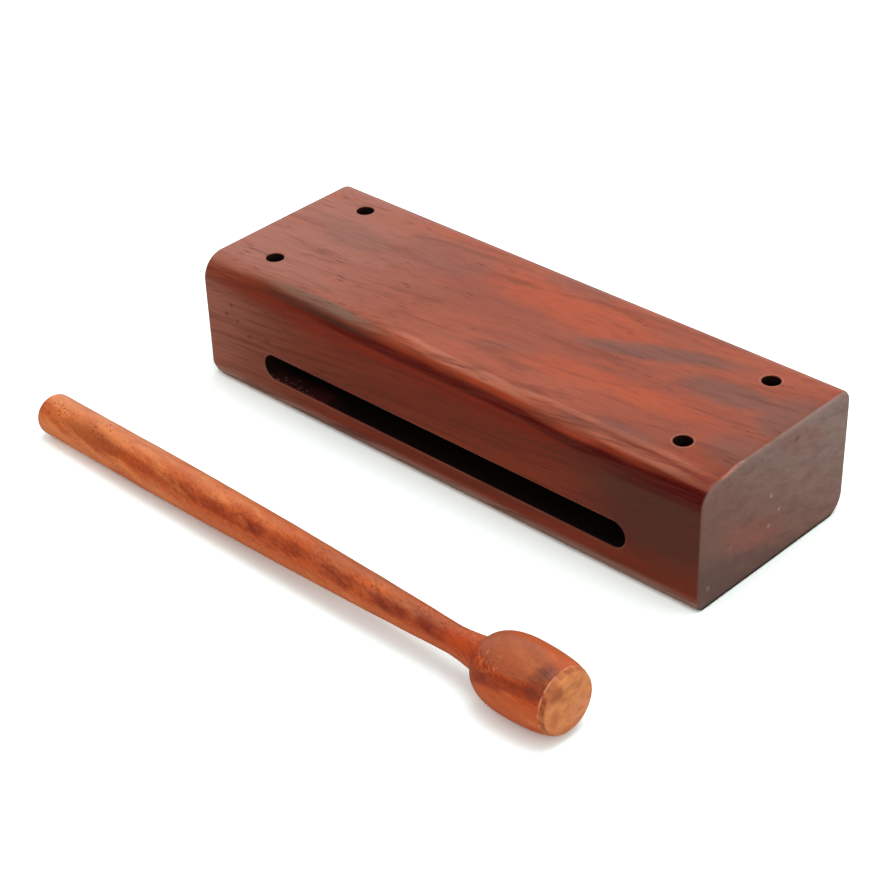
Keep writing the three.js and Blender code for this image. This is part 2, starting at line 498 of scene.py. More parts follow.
hole_middle_y = (block_low.y + HOLE_TO_FRONT + block_high.y - HOLE_TO_BACK) / 2
block = worked(blank, drilling, "wood_block", {
    "Drill": drill, "Slot cutter": slot_cutter, "Pattern length": block_length - 2 * HOLE_TO_END,
    "Pattern depth": block_depth - HOLE_TO_FRONT - HOLE_TO_BACK,
    "Pattern middle": (HOLE_SHIFT_X, hole_middle_y, 0.0), "Sharp from": SHARP_ON_BLOCK, "Wood": block_wood})
for cutter in (drill, slot_cutter):
    bpy.data.objects.remove(cutter)

# %% [markdown]
# ## The mallet's outline
#
# Handle and head are one piece of wood. From the butt the outline is a flat dome, a straight grip, a long taper to
# the neck, a flare with a crease where the tool changed direction, a barrel head, and a rim that turns over to the
# flat end. Each of these runs is a curve of a few points, and it starts where the last one ended. Their sizes are
# what a turner takes with calipers.

# %% Curves of an outline
def curve(controls, steps):
    """Points along a curve of two or more control points, without the first one."""
    points = []
    for k in range(1, steps + 1):
        level = [Vector(point) for point in controls]
        while len(level) > 1:
            level = [a.lerp(b, k / steps) for a, b in zip(level, level[1:])]
        points.append(tuple(level[0]))
    return points


# %% Outline of the mallet
MALLET_LENGTH = 223 * MM
BUTT_DOME = 3.7 * MM
GRIP_RADIUS = 6.65 * MM
GRIP_LENGTH = 45.7 * MM
GRIP_TAPER_REACH = 75 * MM
NECK_RADIUS = 4.2 * MM
NECK_TO_END = 42.3 * MM
NECK_TAPER_REACH = 2 * MM
NECK_FLARE_REACH = 5 * MM
SHOULDER_TO_END = 30 * MM
SHOULDER_RADIUS = 5.6 * MM
BELLY_RADIUS = 11.3 * MM
BELLY_TO_END = 16.5 * MM
RIM_RADIUS = 9.8 * MM
RIM_TO_END = 2.2 * MM
FACE_RADIUS = 8.2 * MM
FOOT_FULLNESS = 0.4
SHOULDER_FULLNESS = 0.7
HEAD_FULLNESS = 0.75
RIM_FULLNESS = 0.7
BUTT_STEPS = 14


def mallet_outline():
    """Pairs of place along the axis and radius, from the butt to the middle of the flat end."""
    neck, foot = MALLET_LENGTH - NECK_TO_END, MALLET_LENGTH - SHOULDER_TO_END
    belly, rim = MALLET_LENGTH - BELLY_TO_END, MALLET_LENGTH - RIM_TO_END
    foot_pull = (foot, SHOULDER_RADIUS + (BELLY_RADIUS - SHOULDER_RADIUS) * FOOT_FULLNESS)
    rim_pull = (MALLET_LENGTH, FACE_RADIUS + (RIM_RADIUS - FACE_RADIUS) * RIM_FULLNESS)
    turns = [radians(90 * k / BUTT_STEPS) for k in range(BUTT_STEPS + 1)]
    pairs = [(BUTT_DOME * (1 - cos(t)), GRIP_RADIUS * sin(t)) for t in turns]
    for steps, *controls in (
            (40, (GRIP_LENGTH, GRIP_RADIUS)),
            (110, (GRIP_LENGTH + GRIP_TAPER_REACH, GRIP_RADIUS), (neck - NECK_TAPER_REACH, NECK_RADIUS),
             (neck, NECK_RADIUS)),
            (24, (neck + NECK_FLARE_REACH, NECK_RADIUS), (foot, SHOULDER_RADIUS)),
            (40, foot_pull, (belly - (belly - foot) * SHOULDER_FULLNESS, BELLY_RADIUS), (belly, BELLY_RADIUS)),
            (30, (belly + (rim - belly) * HEAD_FULLNESS, BELLY_RADIUS), (rim, RIM_RADIUS)),
            (12, rim_pull, (MALLET_LENGTH, FACE_RADIUS)),
            (12, (MALLET_LENGTH, 0))):
        pairs += curve([pairs[-1]] + controls, steps)
    return pairs


pairs = mallet_outline()
print("mallet outline:", len(pairs), "points")

# %% [markdown]
# The tool leaves marks that a plain outline lacks: a crease cut at the foot of the shoulder, a fine groove with a
# raised burr at the rim, and a slow swell along the grip where the hand pressed a little more or less.

# %% Marks of the turning tool
CREASE_DEPTH = 0.18 * MM
CREASE_WIDTH = 0.5 * MM
BURR_HEIGHT = 0.12 * MM
BURR_WIDTH = 0.3 * MM
TOOL_SWELL = 0.07 * MM
TOOL_WAVE = 9 * MM
NOISE_ROW = 3
MARKS_END_RADIUS = 4 * MM


def bell(place, middle, width):
    """A smooth bump of height 1 round a place on the axis."""
    return exp(-((place - middle) / width) ** 2)


def tooled(along, radius):
    """A pair of the outline with the marks of the tool."""
    rim = MALLET_LENGTH - RIM_TO_END
    mark = BURR_HEIGHT * bell(along, rim, BURR_WIDTH) - BURR_HEIGHT * bell(along, rim - 2 * BURR_WIDTH, BURR_WIDTH)
    mark -= CREASE_DEPTH * bell(along, MALLET_LENGTH - SHOULDER_TO_END, CREASE_WIDTH)
    mark += TOOL_SWELL * noise.noise(Vector((along / TOOL_WAVE, 0, NOISE_ROW)))
    return along, radius + mark * min(1, radius / MARKS_END_RADIUS)


# %% Turn the mallet
MALLET_SIDES = 112
OUT_OF_ROUND = 0.022
SHARP_ON_MALLET = radians(34)

tooled_outline = outline_object("mallet_outline", [tooled(along, radius) for along, radius in pairs])
mallet = worked(tooled_outline, lathe, "wood_mallet", {
    "Sides": MALLET_SIDES, "Out of round": OUT_OF_ROUND, "Sharp from": SHARP_ON_MALLET, "Wood": mallet_wood})

# %% [markdown]
# The mallet lies on its belly and on the edge of its butt, so its axis rises a little towards the head. The same
# matrix that lays the mesh down is kept, because the wood's pattern has to follow the axis.

# %% Lay the mallet down
MALLET_FROM_BLOCK = 59.9 * MM
MALLET_SHIFT_X = -4 * MM
MALLET_TURN_DEGREES = -1.9

rise = atan2(BELLY_RADIUS - GRIP_RADIUS, MALLET_LENGTH - BELLY_TO_END - BUTT_DOME)
lie = Matrix.Rotation(radians(MALLET_TURN_DEGREES), 4, "Z") @ Matrix.Rotation(-rise, 4, "Y")
lowest = min((lie @ vertex.co).z for vertex in mallet.data.vertices)
start = Vector((MALLET_SHIFT_X, block_low.y - MALLET_FROM_BLOCK, -lowest)) - lie @ Vector((MALLET_LENGTH / 2, 0, 0))
start.z = -lowest
lay = Matrix.Translation(start) @ lie
mallet.data.transform(lay)
print("mallet starts at", [round(c / MM, 1) for c in mallet.data.vertices[0].co])
print("its axis rises by", round(degrees(rise), 2), "degrees")

# %% [markdown]
# ## Wood as a solid
#
# Wood is a pattern in space, cut open by the faces: a streak on the top runs on down the front and over the end.
# So both woods are worked out from Object coordinates, in millimetres, and nothing is wrapped on. Three numbers
# describe a place in the tree: how far along the grain it is, how deep in the growth layers, and how far sideways.
# Clouds of noise stretched along the grain then give layers, streaks and fibres at their real sizes. What has a place
# of its own is a soft spot or stripe, given by its middle and reach in millimetres, and every mask is laid over the
# colour so far with a weight from 0 to 1.

# %% Helpers for wood
def cloud(x, y, z, detail=3, roughness=0.55):
    """Noise from 0 to 1, around one half, with cells as large as the units of x, y and z."""
    return x.bench.node("ShaderNodeTexNoise", {}, {
        "Vector": x.bench.point(x, y, z), "Scale": 1, "Detail": detail, "Roughness": roughness})


def soft(value, low, high):
    """0 below low, 1 above high, and smooth in between. Low may be the larger one."""
    return value.bench.node("ShaderNodeMapRange", {"interpolation_type": "SMOOTHSTEP"},
                            {"Value": value, "From Min": low, "From Max": high})


def mixed(factor, first, second, blend="MIX"):
    """First where the factor is 0, second where it is 1."""
    return factor.bench.node("ShaderNodeMix", {"data_type": "RGBA", "blend_type": blend}, {
        "Factor": factor, "A": first, "B": second}, "Result")


def scaled(vector, factor):
    """A place or a colour times a factor."""
    return vector.bench.node("ShaderNodeVectorMath", {"operation": "SCALE"}, {0: vector, "Scale": factor})


def blot(u, v, middle, reach, strength=1):
    """A soft spot on two wires: its strength in the middle and 0 at reach."""
    a, b = (u - middle[0]) / reach[0], (v - middle[1]) / reach[1]
    spot = soft(a * a + b * b, 1, 0)
    return spot if strength == 1 else spot * strength


def stripe(value, middle, reach):
    """A soft stripe on one wire: 1 in the middle and 0 at reach on both sides."""
    far = (value - middle) / reach
    return soft(far * far, 1, 0)


def either(*masks):
    """The strongest of some masks."""
    strongest = masks[0]
    for mask in masks[1:]:
        strongest = mask.bench.maths("MAXIMUM", strongest, mask)
    return strongest


def blots(u, v, *spots):
    """The strongest of some soft spots on two wires, each given as blot takes it."""
    return either(*(blot(u, v, *spot) for spot in spots))


def laid(tint, *coats):
    """A colour with coats over it, each given as its weight and its colour."""
    for weight, coat in coats:
        tint = mixed(weight, tint, coat)
    return tint


def cells(x, y, z):
    """Scattered cells: how far a place is from the middle of its cell, and a number from 0 to 1 of that cell."""
    far = x.bench.node("ShaderNodeTexVoronoi", {}, {"Vector": x.bench.point(x, y, z), "Scale": 1}, "Distance")
    return far, x.bench.parts(far.other("Color"))[0]


# %% The last nodes of a wood
BUMP_STRENGTH = 0.6
BUMP_DEPTH = 0.05 * MM
WOOD_SPECULAR = 0.26


def finish_wood(tint, gloss, relief):
    """A fine bump and one shader for the whole wood."""
    bench = tint.bench
    bump = bench.node("ShaderNodeBump", {}, {"Strength": BUMP_STRENGTH, "Distance": BUMP_DEPTH, "Height": relief})
    skin = bench.node("ShaderNodeBsdfPrincipled", {}, {
        "Base Color": tint, "Roughness": gloss, "Normal": bump, "Specular IOR Level": WOOD_SPECULAR})
    bench.node("ShaderNodeOutputMaterial", {}, {"Surface": skin})


# %% [markdown]
# ## Wood of the block
#
# This is an oiled red-brown hardwood. On the top it is salmon brown with orange and grey-purple clouds that lie
# aslant, on the front the same layers are cut steeply and show as narrow dark streaks, and the sawn end is greyer
# and duller. Short dark dashes are pores, cut open lengthwise. The clouds of the top sit in places of their own, and
# everything between them is left to noise.

# %% Where a point lies in the block's tree
bench = Bench(block_wood.node_tree)
x, y, z = bench.parts(scaled(bench.node("ShaderNodeTexCoord", {}, {}, "Object"), 1 / MM))
sway = cloud(x / 75, y / 30, z / 30, 2) - 0.5
layer = y * 0.37 + z * 0.93 - x * 0.079 + sway * 5
side = y * 0.93 - z * 0.37 + sway * 3

# %% Colours of the block
SALMON = (0.42, 0.089, 0.038)
RED_BROWN = (0.33, 0.066, 0.029)
DUSTY = (0.41, 0.148, 0.098)
ORANGE = (0.55, 0.082, 0.016)
PURPLE = (0.19, 0.08, 0.06)

tone = cloud(x / 120, layer / 8, side / 30)
tint = laid(RED_BROWN, (soft(tone, 0.36, 0.62), SALMON), (soft(x + tone * 60, 10, -60) * 0.8, DUSTY))

# %% Clouds of the top
lane = y + (z - block_height / MM) * 2.5 + sway * 6
fleck = cloud(x / 20, layer / 2.4, side / 6, 4, 0.6) - 0.5
warm = either(soft(cloud(x / 60 + 7, layer / 4, side / 14, 2), 0.56, 0.72) * 0.5, soft(x, -40, 10) * 0.2,
              blot(x, lane, (13, 17), (50, 14)), blot(x, lane - x * 0.1, (50, -15), (50, 10), 0.75))
cool = either(soft(cloud(x / 70 + 3, layer / 3.4, side / 16, 2), 0.56, 0.75) * 0.4,
              blot(x, lane - x * 0.39, (48, -5.8), (34, 6.5)), blot(x, lane - x * 0.1, (78, 0.4), (24, 8)),
              blot(x, lane - x * 0.41, (10, -18), (18, 3.4), 0.55),
              blots(x, lane, ((99, 8), (15, 16)), ((99, -16), (16, 14), 0.8), ((-40, 17), (26, 12), 0.55),
                    ((6, 27), (20, 8), 0.55), ((-74, 7), (28, 10), 0.55)))
tint = laid(tint, (soft(warm + fleck * 1.1, 0, 1.1) * 0.72, ORANGE),
            (soft(cool + fleck * 0.9, 0.02, 1.1) * 0.74, PURPLE))

# %% [markdown]
# The long sides are darkened with painted shade, so that they stay darker than the top. The line between the two
# runs along the front rounding and wavers. Just below it lies a narrow band of painted shade in dark red, nearly black
# towards the right end. Where the top turns into the rounding a painted grey sheen lies on the left, with painted
# shade below it, and the rest gets painted highlights along two pale lines. To the right they pass over purple wood
# and a dark crimson line of painted shade. The front's lowest edge is painted paler, as light from the floor.

# %% Painted shade of the sides
SIDE_SHADE_MULTIPLY = (0.56, 0.4, 0.26)
SHADE_RED = (0.22, 0.018, 0.004)
SHADE_BLACK_RED = (0.085, 0.002, 0.0006)
EMBER = (0.42, 0.05, 0.012)
SMOKE_AND_SHADE = (0.05, 0.029, 0.019)

waver = (cloud(x / 26, y / 40, 0, 2) - 0.5) * 1.2 + soft(x, 30, 60) * soft(x, 100, 74) * 0.7 + stripe(x, 49, 15) * 0.8
shade_line = z + waver - blot(x, y, (-62, -30), (26, 20), 0.6)
# Painted shade: below a wavering line, the long sides are multiplied darker than the top.
side_shade = soft(shade_line, 42.3, 40.7) * (1 - soft(x + tone * 24, -62, -92) * 0.62)
tint = mixed(side_shade, tint, SIDE_SHADE_MULTIPLY, "MULTIPLY")

at_front = soft(y, -26, -28.5)
broken = soft(cloud(x / 16, z / 0.9, 2), 0.34, 0.6)
purple_under_highlight = stripe(x, 47, 20) * stripe(y, -31.4, 2)
# Painted shade in dark red on the lower front rounding, also on its left part.
red_rounding_shade = soft(z, 31, 36.5) * soft(shade_line, 41, 39.8) * at_front * soft(x, -96, -56)
left_rounding_shade = stripe(shade_line, 38.6, 3.4) * at_front * soft(x, -50, -76)
ember = stripe(shade_line, 40.8, 1.2) * at_front * soft(x, -8, 14) * soft(x, 86, 60) * broken
dark_right = soft(x + z * 0.5, 56, 90) * at_front * soft(z, 4, 20) * soft(shade_line, 40.3, 38.8)
# Painted shade: a nearly black line on the rounding, wider towards the right end.
widens = soft(x, 46, 82)
black_shade_band = stripe((shade_line - 38.9) / (1 + widens * 0.5), -0.55 * widens, 1.7)
black_shade_band = either(black_shade_band, stripe(shade_line, 36.2, 2.8) * widens * 0.6) * at_front * soft(x, -80, -30)
left_dust = soft(x, -52, -92) * at_front * soft(shade_line, 36.5, 31)
tint = laid(tint, (purple_under_highlight * 0.3, PURPLE), (red_rounding_shade * (0.66 + broken * 0.28), SHADE_RED),
            (left_rounding_shade * (0.3 + broken * 0.35), SHADE_RED), (ember * 0.6, EMBER),
            (dark_right * (0.5 + tone * 0.3), SMOKE_AND_SHADE), (black_shade_band * (0.66 + broken * 0.3 + widens * 0.3), SHADE_BLACK_RED),
            (left_dust * 0.34, DUSTY))

# %% Painted sheen, highlights and shade on the front rounding, and painted light low on the front
GREY_SHEEN_TINT = (0.2, 0.125, 0.088)
PALE_HIGHLIGHT = (0.66, 0.27, 0.18)
CRIMSON_SHADE = (0.24, 0.04, 0.026)
FLOOR_LIGHT_PALE = (0.44, 0.31, 0.25)

# Painted grey sheen on the left of the rounding, and painted shade just below it.
grey_sheen = blot(x, y, (-50, -29.3), (33, 3)) * soft(z, 40.2, 41.6)
sheen_breakup = soft(cloud(x / 5, y / 1.6, z / 1.6, 3, 0.6), 0.36, 0.62)
shade_below_sheen = stripe(z, 40.4, 1.3) * at_front * soft(x, -84, -66) * soft(x, -20, -36)
# Painted highlights along two pale lines on the rounding.
rounding_y = y + sway * 1.4
rounding_y_shift = soft(x, 42, 24) * soft(x, -20, 4)
rounding_highlight = stripe(rounding_y + rounding_y_shift, -27.2, 1.5) * soft(z, 41, 42.2) * soft(x, -34, -8) * soft(x, 100, 86)
rounding_highlight = rounding_highlight * (1 - soft(x, 16, 44) * 0.4)
lower = soft(x, 46, 66)
lower_rounding_highlight = stripe(rounding_y, -29.6 - lower * 0.7, 1.2 + lower * 0.5) * soft(z, 39.4, 40.4) * soft(x, -20, 0)
lower_rounding_highlight = lower_rounding_highlight * (1 - soft(x, 82, 100) * 0.5) * (1 - stripe(x, 46, 18) * 0.7)
# Painted shade: a dark purple to crimson line on the rounding towards the right.
rounding_shade_line_reach = 0.9 + soft(x, 86, 98) * 1.2 + stripe(x, 50, 14) * 0.6
rounding_shade_line = stripe(rounding_y, -29.1 + soft(x, 76, 90) * 0.3, rounding_shade_line_reach) * soft(z, 40, 41) * soft(x, 38, 50)
# Painted light: the front is paler near its base, as light from the floor.
floor_light_at_base = soft(z, 5.4, 2.2) * soft(y, -28, -32)
tint = laid(tint, (grey_sheen * (0.4 + broken * 0.2 + sheen_breakup * 0.3), GREY_SHEEN_TINT), (shade_below_sheen * (0.35 + broken * 0.4), SMOKE_AND_SHADE),
            (either(rounding_highlight * 0.42, lower_rounding_highlight * 0.34), PALE_HIGHLIGHT), (blot(x, rounding_y, (68, -25.6), (15, 4), 0.45), PURPLE),
            (rounding_shade_line * 0.55, mixed(soft(x, 56, 76), PURPLE, CRIMSON_SHADE)), (floor_light_at_base * 0.5, FLOOR_LIGHT_PALE))

# %% Streaks, fibres and pores of the block
DARK_BAND = (0.13, 0.024, 0.01)
PORE = (0.07, 0.02, 0.012)

streak = soft(cloud(x / 46, layer / 1.5, side / 4.5, 4, 0.62), 0.48, 0.72)
hair = soft(cloud(x / 17 + 4, layer / 0.5, side / 1.2), 0.5, 0.72)
hairy = (0.24 + at_front * soft(x, -96, -56) * 0.26) * (1 - either(rounding_highlight, lower_rounding_highlight) * 0.7)
fibre = cloud(x / 9, layer / 0.45, side / 0.5, 2, 0.6)
tint = laid(tint, (streak * (0.42 + at_front * 0.36), DARK_BAND), (hair * hairy, DARK_BAND))
tint = scaled(tint, 0.8 + fibre * 0.4)

# %% Pores, thin where the photograph shows them
dash, kept = cells(x / 9, layer / 0.9, side / 0.9)
crowd = either(soft(cloud(x / 18, layer / 5, side / 9, 1), 0.5, 0.66) * 0.7, blots(
    x, lane, ((-90, -21), (8, 7)), ((-79, -4.5), (6, 3)), ((-68, -6), (9, 3)), ((-55, -14.5), (13, 4)),
    ((-50, 5), (6, 3)), ((-44, -9), (7, 3)), ((-37, -5), (5, 3)), ((-32, 9.5), (7, 3)), ((-86, 24), (7, 6))))
pore = soft(dash, 0.32, 0.16) * soft(kept, 0.3, 0.4) * crowd
dots = blots(x, z, ((-91, 26), (1.3, 0.9)), ((-86, 25), (1, 0.8)), ((-81, 21), (1.8, 0.7)),
             ((-73, 22.6), (1.5, 0.7)), ((-88.5, 30), (1, 1))) * at_front
tint = laid(tint, (either(pore * 0.75, dots * 0.6), PORE))

# %% [markdown]
# Sawn end grain drinks oil and scatters light, so it looks grey and dull, and its layers show as bands aslant. The end
# is painted lighter towards its upper corner, as light, and darker towards its base, with a painted contact shadow
# along the base itself. It has a few nicks, a pale painted highlight along the right end's top edge, and a small knot
# on the right. The insides of the slot and of the holes are painted nearly black as shade, with faint painted light on
# the slot's floor near its mouth, the edges of the slot's mouth and of the right holes get painted highlights, and
# some dust lies in the slot's left mouth. All are found from the place alone: the ends by how far a point is from the
# middle, the slot and the holes by the distance from their outlines.

# %% End grain
END_GREY = (0.34, 0.245, 0.203)
END_BROWN = (0.245, 0.129, 0.096)
END_RED = (0.35, 0.125, 0.09)
END_DARK = (0.135, 0.09, 0.072)
NICK = (0.6, 0.45, 0.4)
CONTACT_SHADE = (0.02, 0.012, 0.009)

half_mm = block_length / 2 / MM
right_longer = z * (RIGHT_MORE_AT_TOP / block_height) + (y - block_low.y / MM) * (RIGHT_MORE_AT_BACK / block_depth)
from_middle = either(x - right_longer, -LEFT_LONGER / MM - x)
at_end = soft(from_middle, half_mm - 0.9, half_mm - 0.25)
right_end = soft(x, 0, 10)
mottle = cloud(x / 30, layer / 4, side / 7, 4, 0.65) - 0.5
# Painted light: the end is greyer and lighter towards its upper corner.
lit_corner = soft(y * 0.6 + z + mottle * 40, 4, 56)
reddish = blots(y, layer, ((-10, 2.4), (19, 7)), ((12, 29), (18, 7), 0.5))
below = soft(z + y * 0.35 + mottle * 26, 14, -3)
band = soft(cloud(x / 60, layer / 2.4, side / 7, 4, 0.65), 0.42, 0.68)
knot = blot(y, z, (8.4, 38.1), (1.9, 1.5)) * right_end
end_tint = laid(END_BROWN, (lit_corner, END_GREY), (soft(reddish + mottle * 1.6, 0, 1.1) * 0.7, END_RED),
                (either(band * 0.36, below * 0.8, knot * 0.7), END_DARK))

# %% Nicks of the ends, and painted contact shadow at their base
nick = blots(y, z, ((-2.3, 23.9), (1, 1.1)), ((1.8, 17.1), (0.9, 0.9)), ((-2.7, 13.7), (1, 1)),
             ((-20.7, 15.5), (1.5, 0.7), 0.6), ((-29.8, 6.7), (1, 1.2), 0.7), ((-16.2, 43), (1.6, 0.8)))
speck = cloud(x / 8, y / 0.7, z / 0.7, 2)
end_tint = mixed(nick * right_end * soft(speck, 0.3, 0.6) * 0.6, end_tint, NICK)
# Painted contact shadow: a dark line along the base of both ends.
base_contact_shade = soft(z, 1.5, 0.7) * soft(from_middle, half_mm - 1.4, half_mm - 0.5)
# Painted highlight: a pale line along the right end's top edge.
end_edge_highlight = stripe(from_middle, half_mm - 0.6, 0.45) * right_end * stripe(y, -21.5, 6) * soft(z, 36, 39)
tint = laid(tint, (at_end * 0.88, scaled(end_tint, 1.06 - speck * 0.28)), (base_contact_shade * 0.88, CONTACT_SHADE),
            (end_edge_highlight * soft(speck, 0.3, 0.5) * 0.5, PALE_HIGHLIGHT))

# %% Slot and holes
RECESS_SHADE_DARK = (0.006, 0.0022, 0.0016)
FAINT_LIGHT_RED = (0.06, 0.006, 0.004)
PALE_HIGHLIGHT_AND_DUST = (0.36, 0.17, 0.14)

slot_reach = (block_length / 2 - SLOT_TO_END - SLOT_HEIGHT / 2) / MM
slot_x = bench.maths("MAXIMUM", bench.maths("ABSOLUTE", x - SLOT_SHIFT_X / MM) - slot_reach, 0)
slot_z = z - (SLOT_TO_BASE + SLOT_HEIGHT / 2) / MM
slot_far = (slot_x * slot_x + slot_z * slot_z) ** 0.5 - SLOT_HEIGHT / 2 / MM
slot_deep = y - block_low.y / MM
slot_end = (block_depth - SLOT_BACK_WALL) / MM
in_slot = soft(slot_far, 0.24, 0.06) * soft(slot_deep, 0.1, 0.4) * soft(slot_deep, slot_end + 0.8, slot_end + 0.4)
# Faint painted light on the slot's floor near its left mouth.
slot_floor_light = soft(slot_z, -3.4, -4.2) * blot(x, slot_deep, (-58, 2), (24, 6)) * broken
slot_dust = soft(cloud(x / 1.5, y / 1.2, z, 2), 0.56, 0.66) * soft(slot_z, -3.2, -4)
slot_dust = slot_dust * blot(x, slot_deep, (-64, 1.5), (14, 4))
# Painted highlight on the edge of the slot's mouth.
slot_lip_highlight = soft(slot_far, 0.6, 0.35) * soft(slot_deep, 0.4, 0.1) * (0.3 + broken * 0.7)
hole_x = bench.maths("ABSOLUTE", x - HOLE_SHIFT_X / MM) - (half_mm - HOLE_TO_END / MM)
hole_y = bench.maths("ABSOLUTE", y - hole_middle_y / MM) - (block_high.y - hole_middle_y - HOLE_TO_BACK) / MM
hole_far = (hole_x * hole_x + hole_y * hole_y) ** 0.5 - HOLE_DIAMETER / 2 / MM
in_hole = soft(hole_far, 0.2, 0.05) * soft(z, block_height / MM, block_height / MM - 0.4)
# Painted highlight round the right holes.
hole_rim_highlight = stripe(hole_far, 0.4, 0.4) * right_end * soft(z, 41, 42) * (0.4 + broken * 0.6)
# Painted shade: the insides of the slot and the holes are painted nearly black.
recess_shade = either(in_slot, in_hole)
recess_tint = laid(RECESS_SHADE_DARK, (slot_floor_light, FAINT_LIGHT_RED), (slot_dust * 0.5, PALE_HIGHLIGHT_AND_DUST))
tint = laid(tint, (slot_lip_highlight * 0.3, PALE_HIGHLIGHT_AND_DUST), (hole_rim_highlight * 0.28, PALE_HIGHLIGHT), (recess_shade * 0.97, recess_tint))

# %% Finish of the block
gloss = 0.33 + streak * 0.08 + pore * 0.2 + at_end * 0.25 + recess_shade * 0.4
finish_wood(tint, gloss, fibre * 0.35 - pore * 1.2 - streak * 0.15 - hair * 0.2)
print("block wood:", len(block_wood.node_tree.nodes), "nodes")

# %% [markdown]
# ## Wood of the mallet
#
# The mallet is of a lighter orange-brown wood with red streaks that wander across the handle, small dark pits, a
# purplish head with pale flecks, and a paler flat end where the grain is cut across. A Mapping node of the texture
# type takes a place on the table back to the lathe, so that the pattern follows the mallet's own axis.

# %% Where a point lies in the mallet's tree
bench = Bench(mallet_wood.node_tree)
turned = bench.node("ShaderNodeMapping", {"vector_type": "TEXTURE"}, {
    "Vector": bench.node("ShaderNodeTexCoord", {}, {}, "Object"),
    "Location": lay.to_translation(), "Rotation": lay.to_euler("XYZ")})
s, p, q = bench.parts(scaled(turned, 1 / MM))
sway = cloud(s / 26, p / 12, q / 12, 1) - 0.5
aslant = q * 0.84 + p * 0.54
layer = aslant + s * 0.03 + sway * 5
side = p * 0.84 - q * 0.54 + sway * 3
towards_room = soft(side, 2, -2)
lean = aslant / (p * p + q * q + 1) ** 0.5

# %% Colours of the mallet
AMBER = (0.82, 0.237, 0.058)
RUST = (0.58, 0.095, 0.016)
DEEP_RED = (0.24, 0.026, 0.008)
UMBER = (0.42, 0.105, 0.022)
NECK_RED = (0.5, 0.05, 0.006)
ROSE = (0.42, 0.13, 0.058)
PEACH_AND_HIGHLIGHT = (0.84, 0.32, 0.15)
BOUNCE_TAN = (0.8, 0.25, 0.085)
HEAD_OIL = (0.94, 0.8, 0.7)
PLUM = (0.13, 0.03, 0.022)
PALE_END = (0.8, 0.3, 0.1)

ripe = soft(s, -40, 150)
# Painted light: the side of the mallet that faces up is paler.
upper_side_light = soft(lean + sway * 0.8, 0.25, 1) * (1 - ripe * 0.4)
tone = cloud(s / 15 + aslant / 6, layer / 5, side / 6)
rusty = soft(tone + ripe * 0.2 - upper_side_light * 0.14, 0.34, 0.7)
red_neck = soft(s, 166, 178) * soft(s, 200, 191) * (1 - upper_side_light * 0.6)
browned = blot(s, aslant, (29, 1.2), (18, 3.6)) * towards_room
tint = laid(AMBER, (rusty, RUST), (red_neck * 0.65, NECK_RED), (upper_side_light * 0.45, PEACH_AND_HIGHLIGHT),
            (browned * (0.4 + tone * 0.5), UMBER))

# %% [markdown]
# A dark layer runs along the side that faces the room. It is strongest in the middle of the handle and in a few knots
# towards the neck. On the head an arc of it bends to the rim, with rosy wood behind it and a plum patch at its end.

# %% Dark layer and knots of the mallet
ragged = soft(cloud(s / 5 + aslant / 3, p / 2, q / 2, 4, 0.65), 0.34, 0.62)
rosy = soft(cloud(s / 18 + 9, layer / 5, side / 5, 2), 0.36, 0.66) * soft(s, 90, 160) * soft(s, 186, 174)
core = stripe(aslant + sway * 2 - soft(s, 150, 110), 0, 2.3) * towards_room * soft(s, 188, 176)
knots = either(stripe(s, 84, 30) * 0.75, stripe(s, 48, 18) * 0.4, stripe(s, 104.5, 6), stripe(s, 119, 10) * 0.75,
               stripe(s, 139, 8), stripe(s, 160, 10), stripe(s, 175, 8))
wander = soft(cloud(s / 9 + aslant / 4, layer / 1.6, side / 3), 0.5, 0.72)
vein = stripe(cloud(s / 5 + aslant / 3, p / 4, q / 4, 3, 0.6), 0.5, 0.03) * stripe(aslant, 0.8, 5)
# Painted light: the lower side of the mallet is lighter, as light from the floor.
low_side_bounce_light = soft(lean, -0.12, -0.66) * (1 - ripe * 0.35)
tint = laid(tint, (rosy * soft(aslant, -2, 1) * 0.75, ROSE),
            (core * (0.15 + knots * 0.8) * (0.4 + ragged * 0.6), DEEP_RED),
            (wander * (0.16 + ripe * 0.1) * (1 - upper_side_light * 0.4), DEEP_RED),
            (vein * (0.15 + ripe * 0.4), DEEP_RED), (low_side_bounce_light * 0.5, BOUNCE_TAN))

# %% Figure of the head
head_rose = soft(blot(s, aslant, (207, 6), (17, 6)) * towards_room, 0.1, 0.6)
tint = mixed(head_rose * (0.5 + tone * 0.4), tint, ROSE)
tint = mixed(soft(s, 190, 197) * 0.8, tint, HEAD_OIL, "MULTIPLY")
arc = stripe(aslant - (s - 208) * 0.2 + tone * 2, -0.4, 2.5) * stripe(s, 208, 18) * towards_room
chips = blot(s, aslant, (199, 0.5), (7, 4.2)) * soft(cloud(s / 1.6, p / 1.2, q / 1.2, 3, 0.6), 0.46, 0.58)
flecks = blot(s, aslant, (201, 2.4), (6, 4)) * soft(cloud(s / 1.2, p / 0.9, q / 0.9, 2), 0.58, 0.66) * towards_room
at_rim = blot(s, aslant, (218.6, 3.8), (4.4, 6.6)) * (0.5 + ragged * 0.5) * towards_room
tint = laid(tint, (either(arc * (0.5 + ragged * 0.4), chips * 0.7), DEEP_RED), (flecks * 0.7, PEACH_AND_HIGHLIGHT),
            (at_rim * 0.85, PLUM))

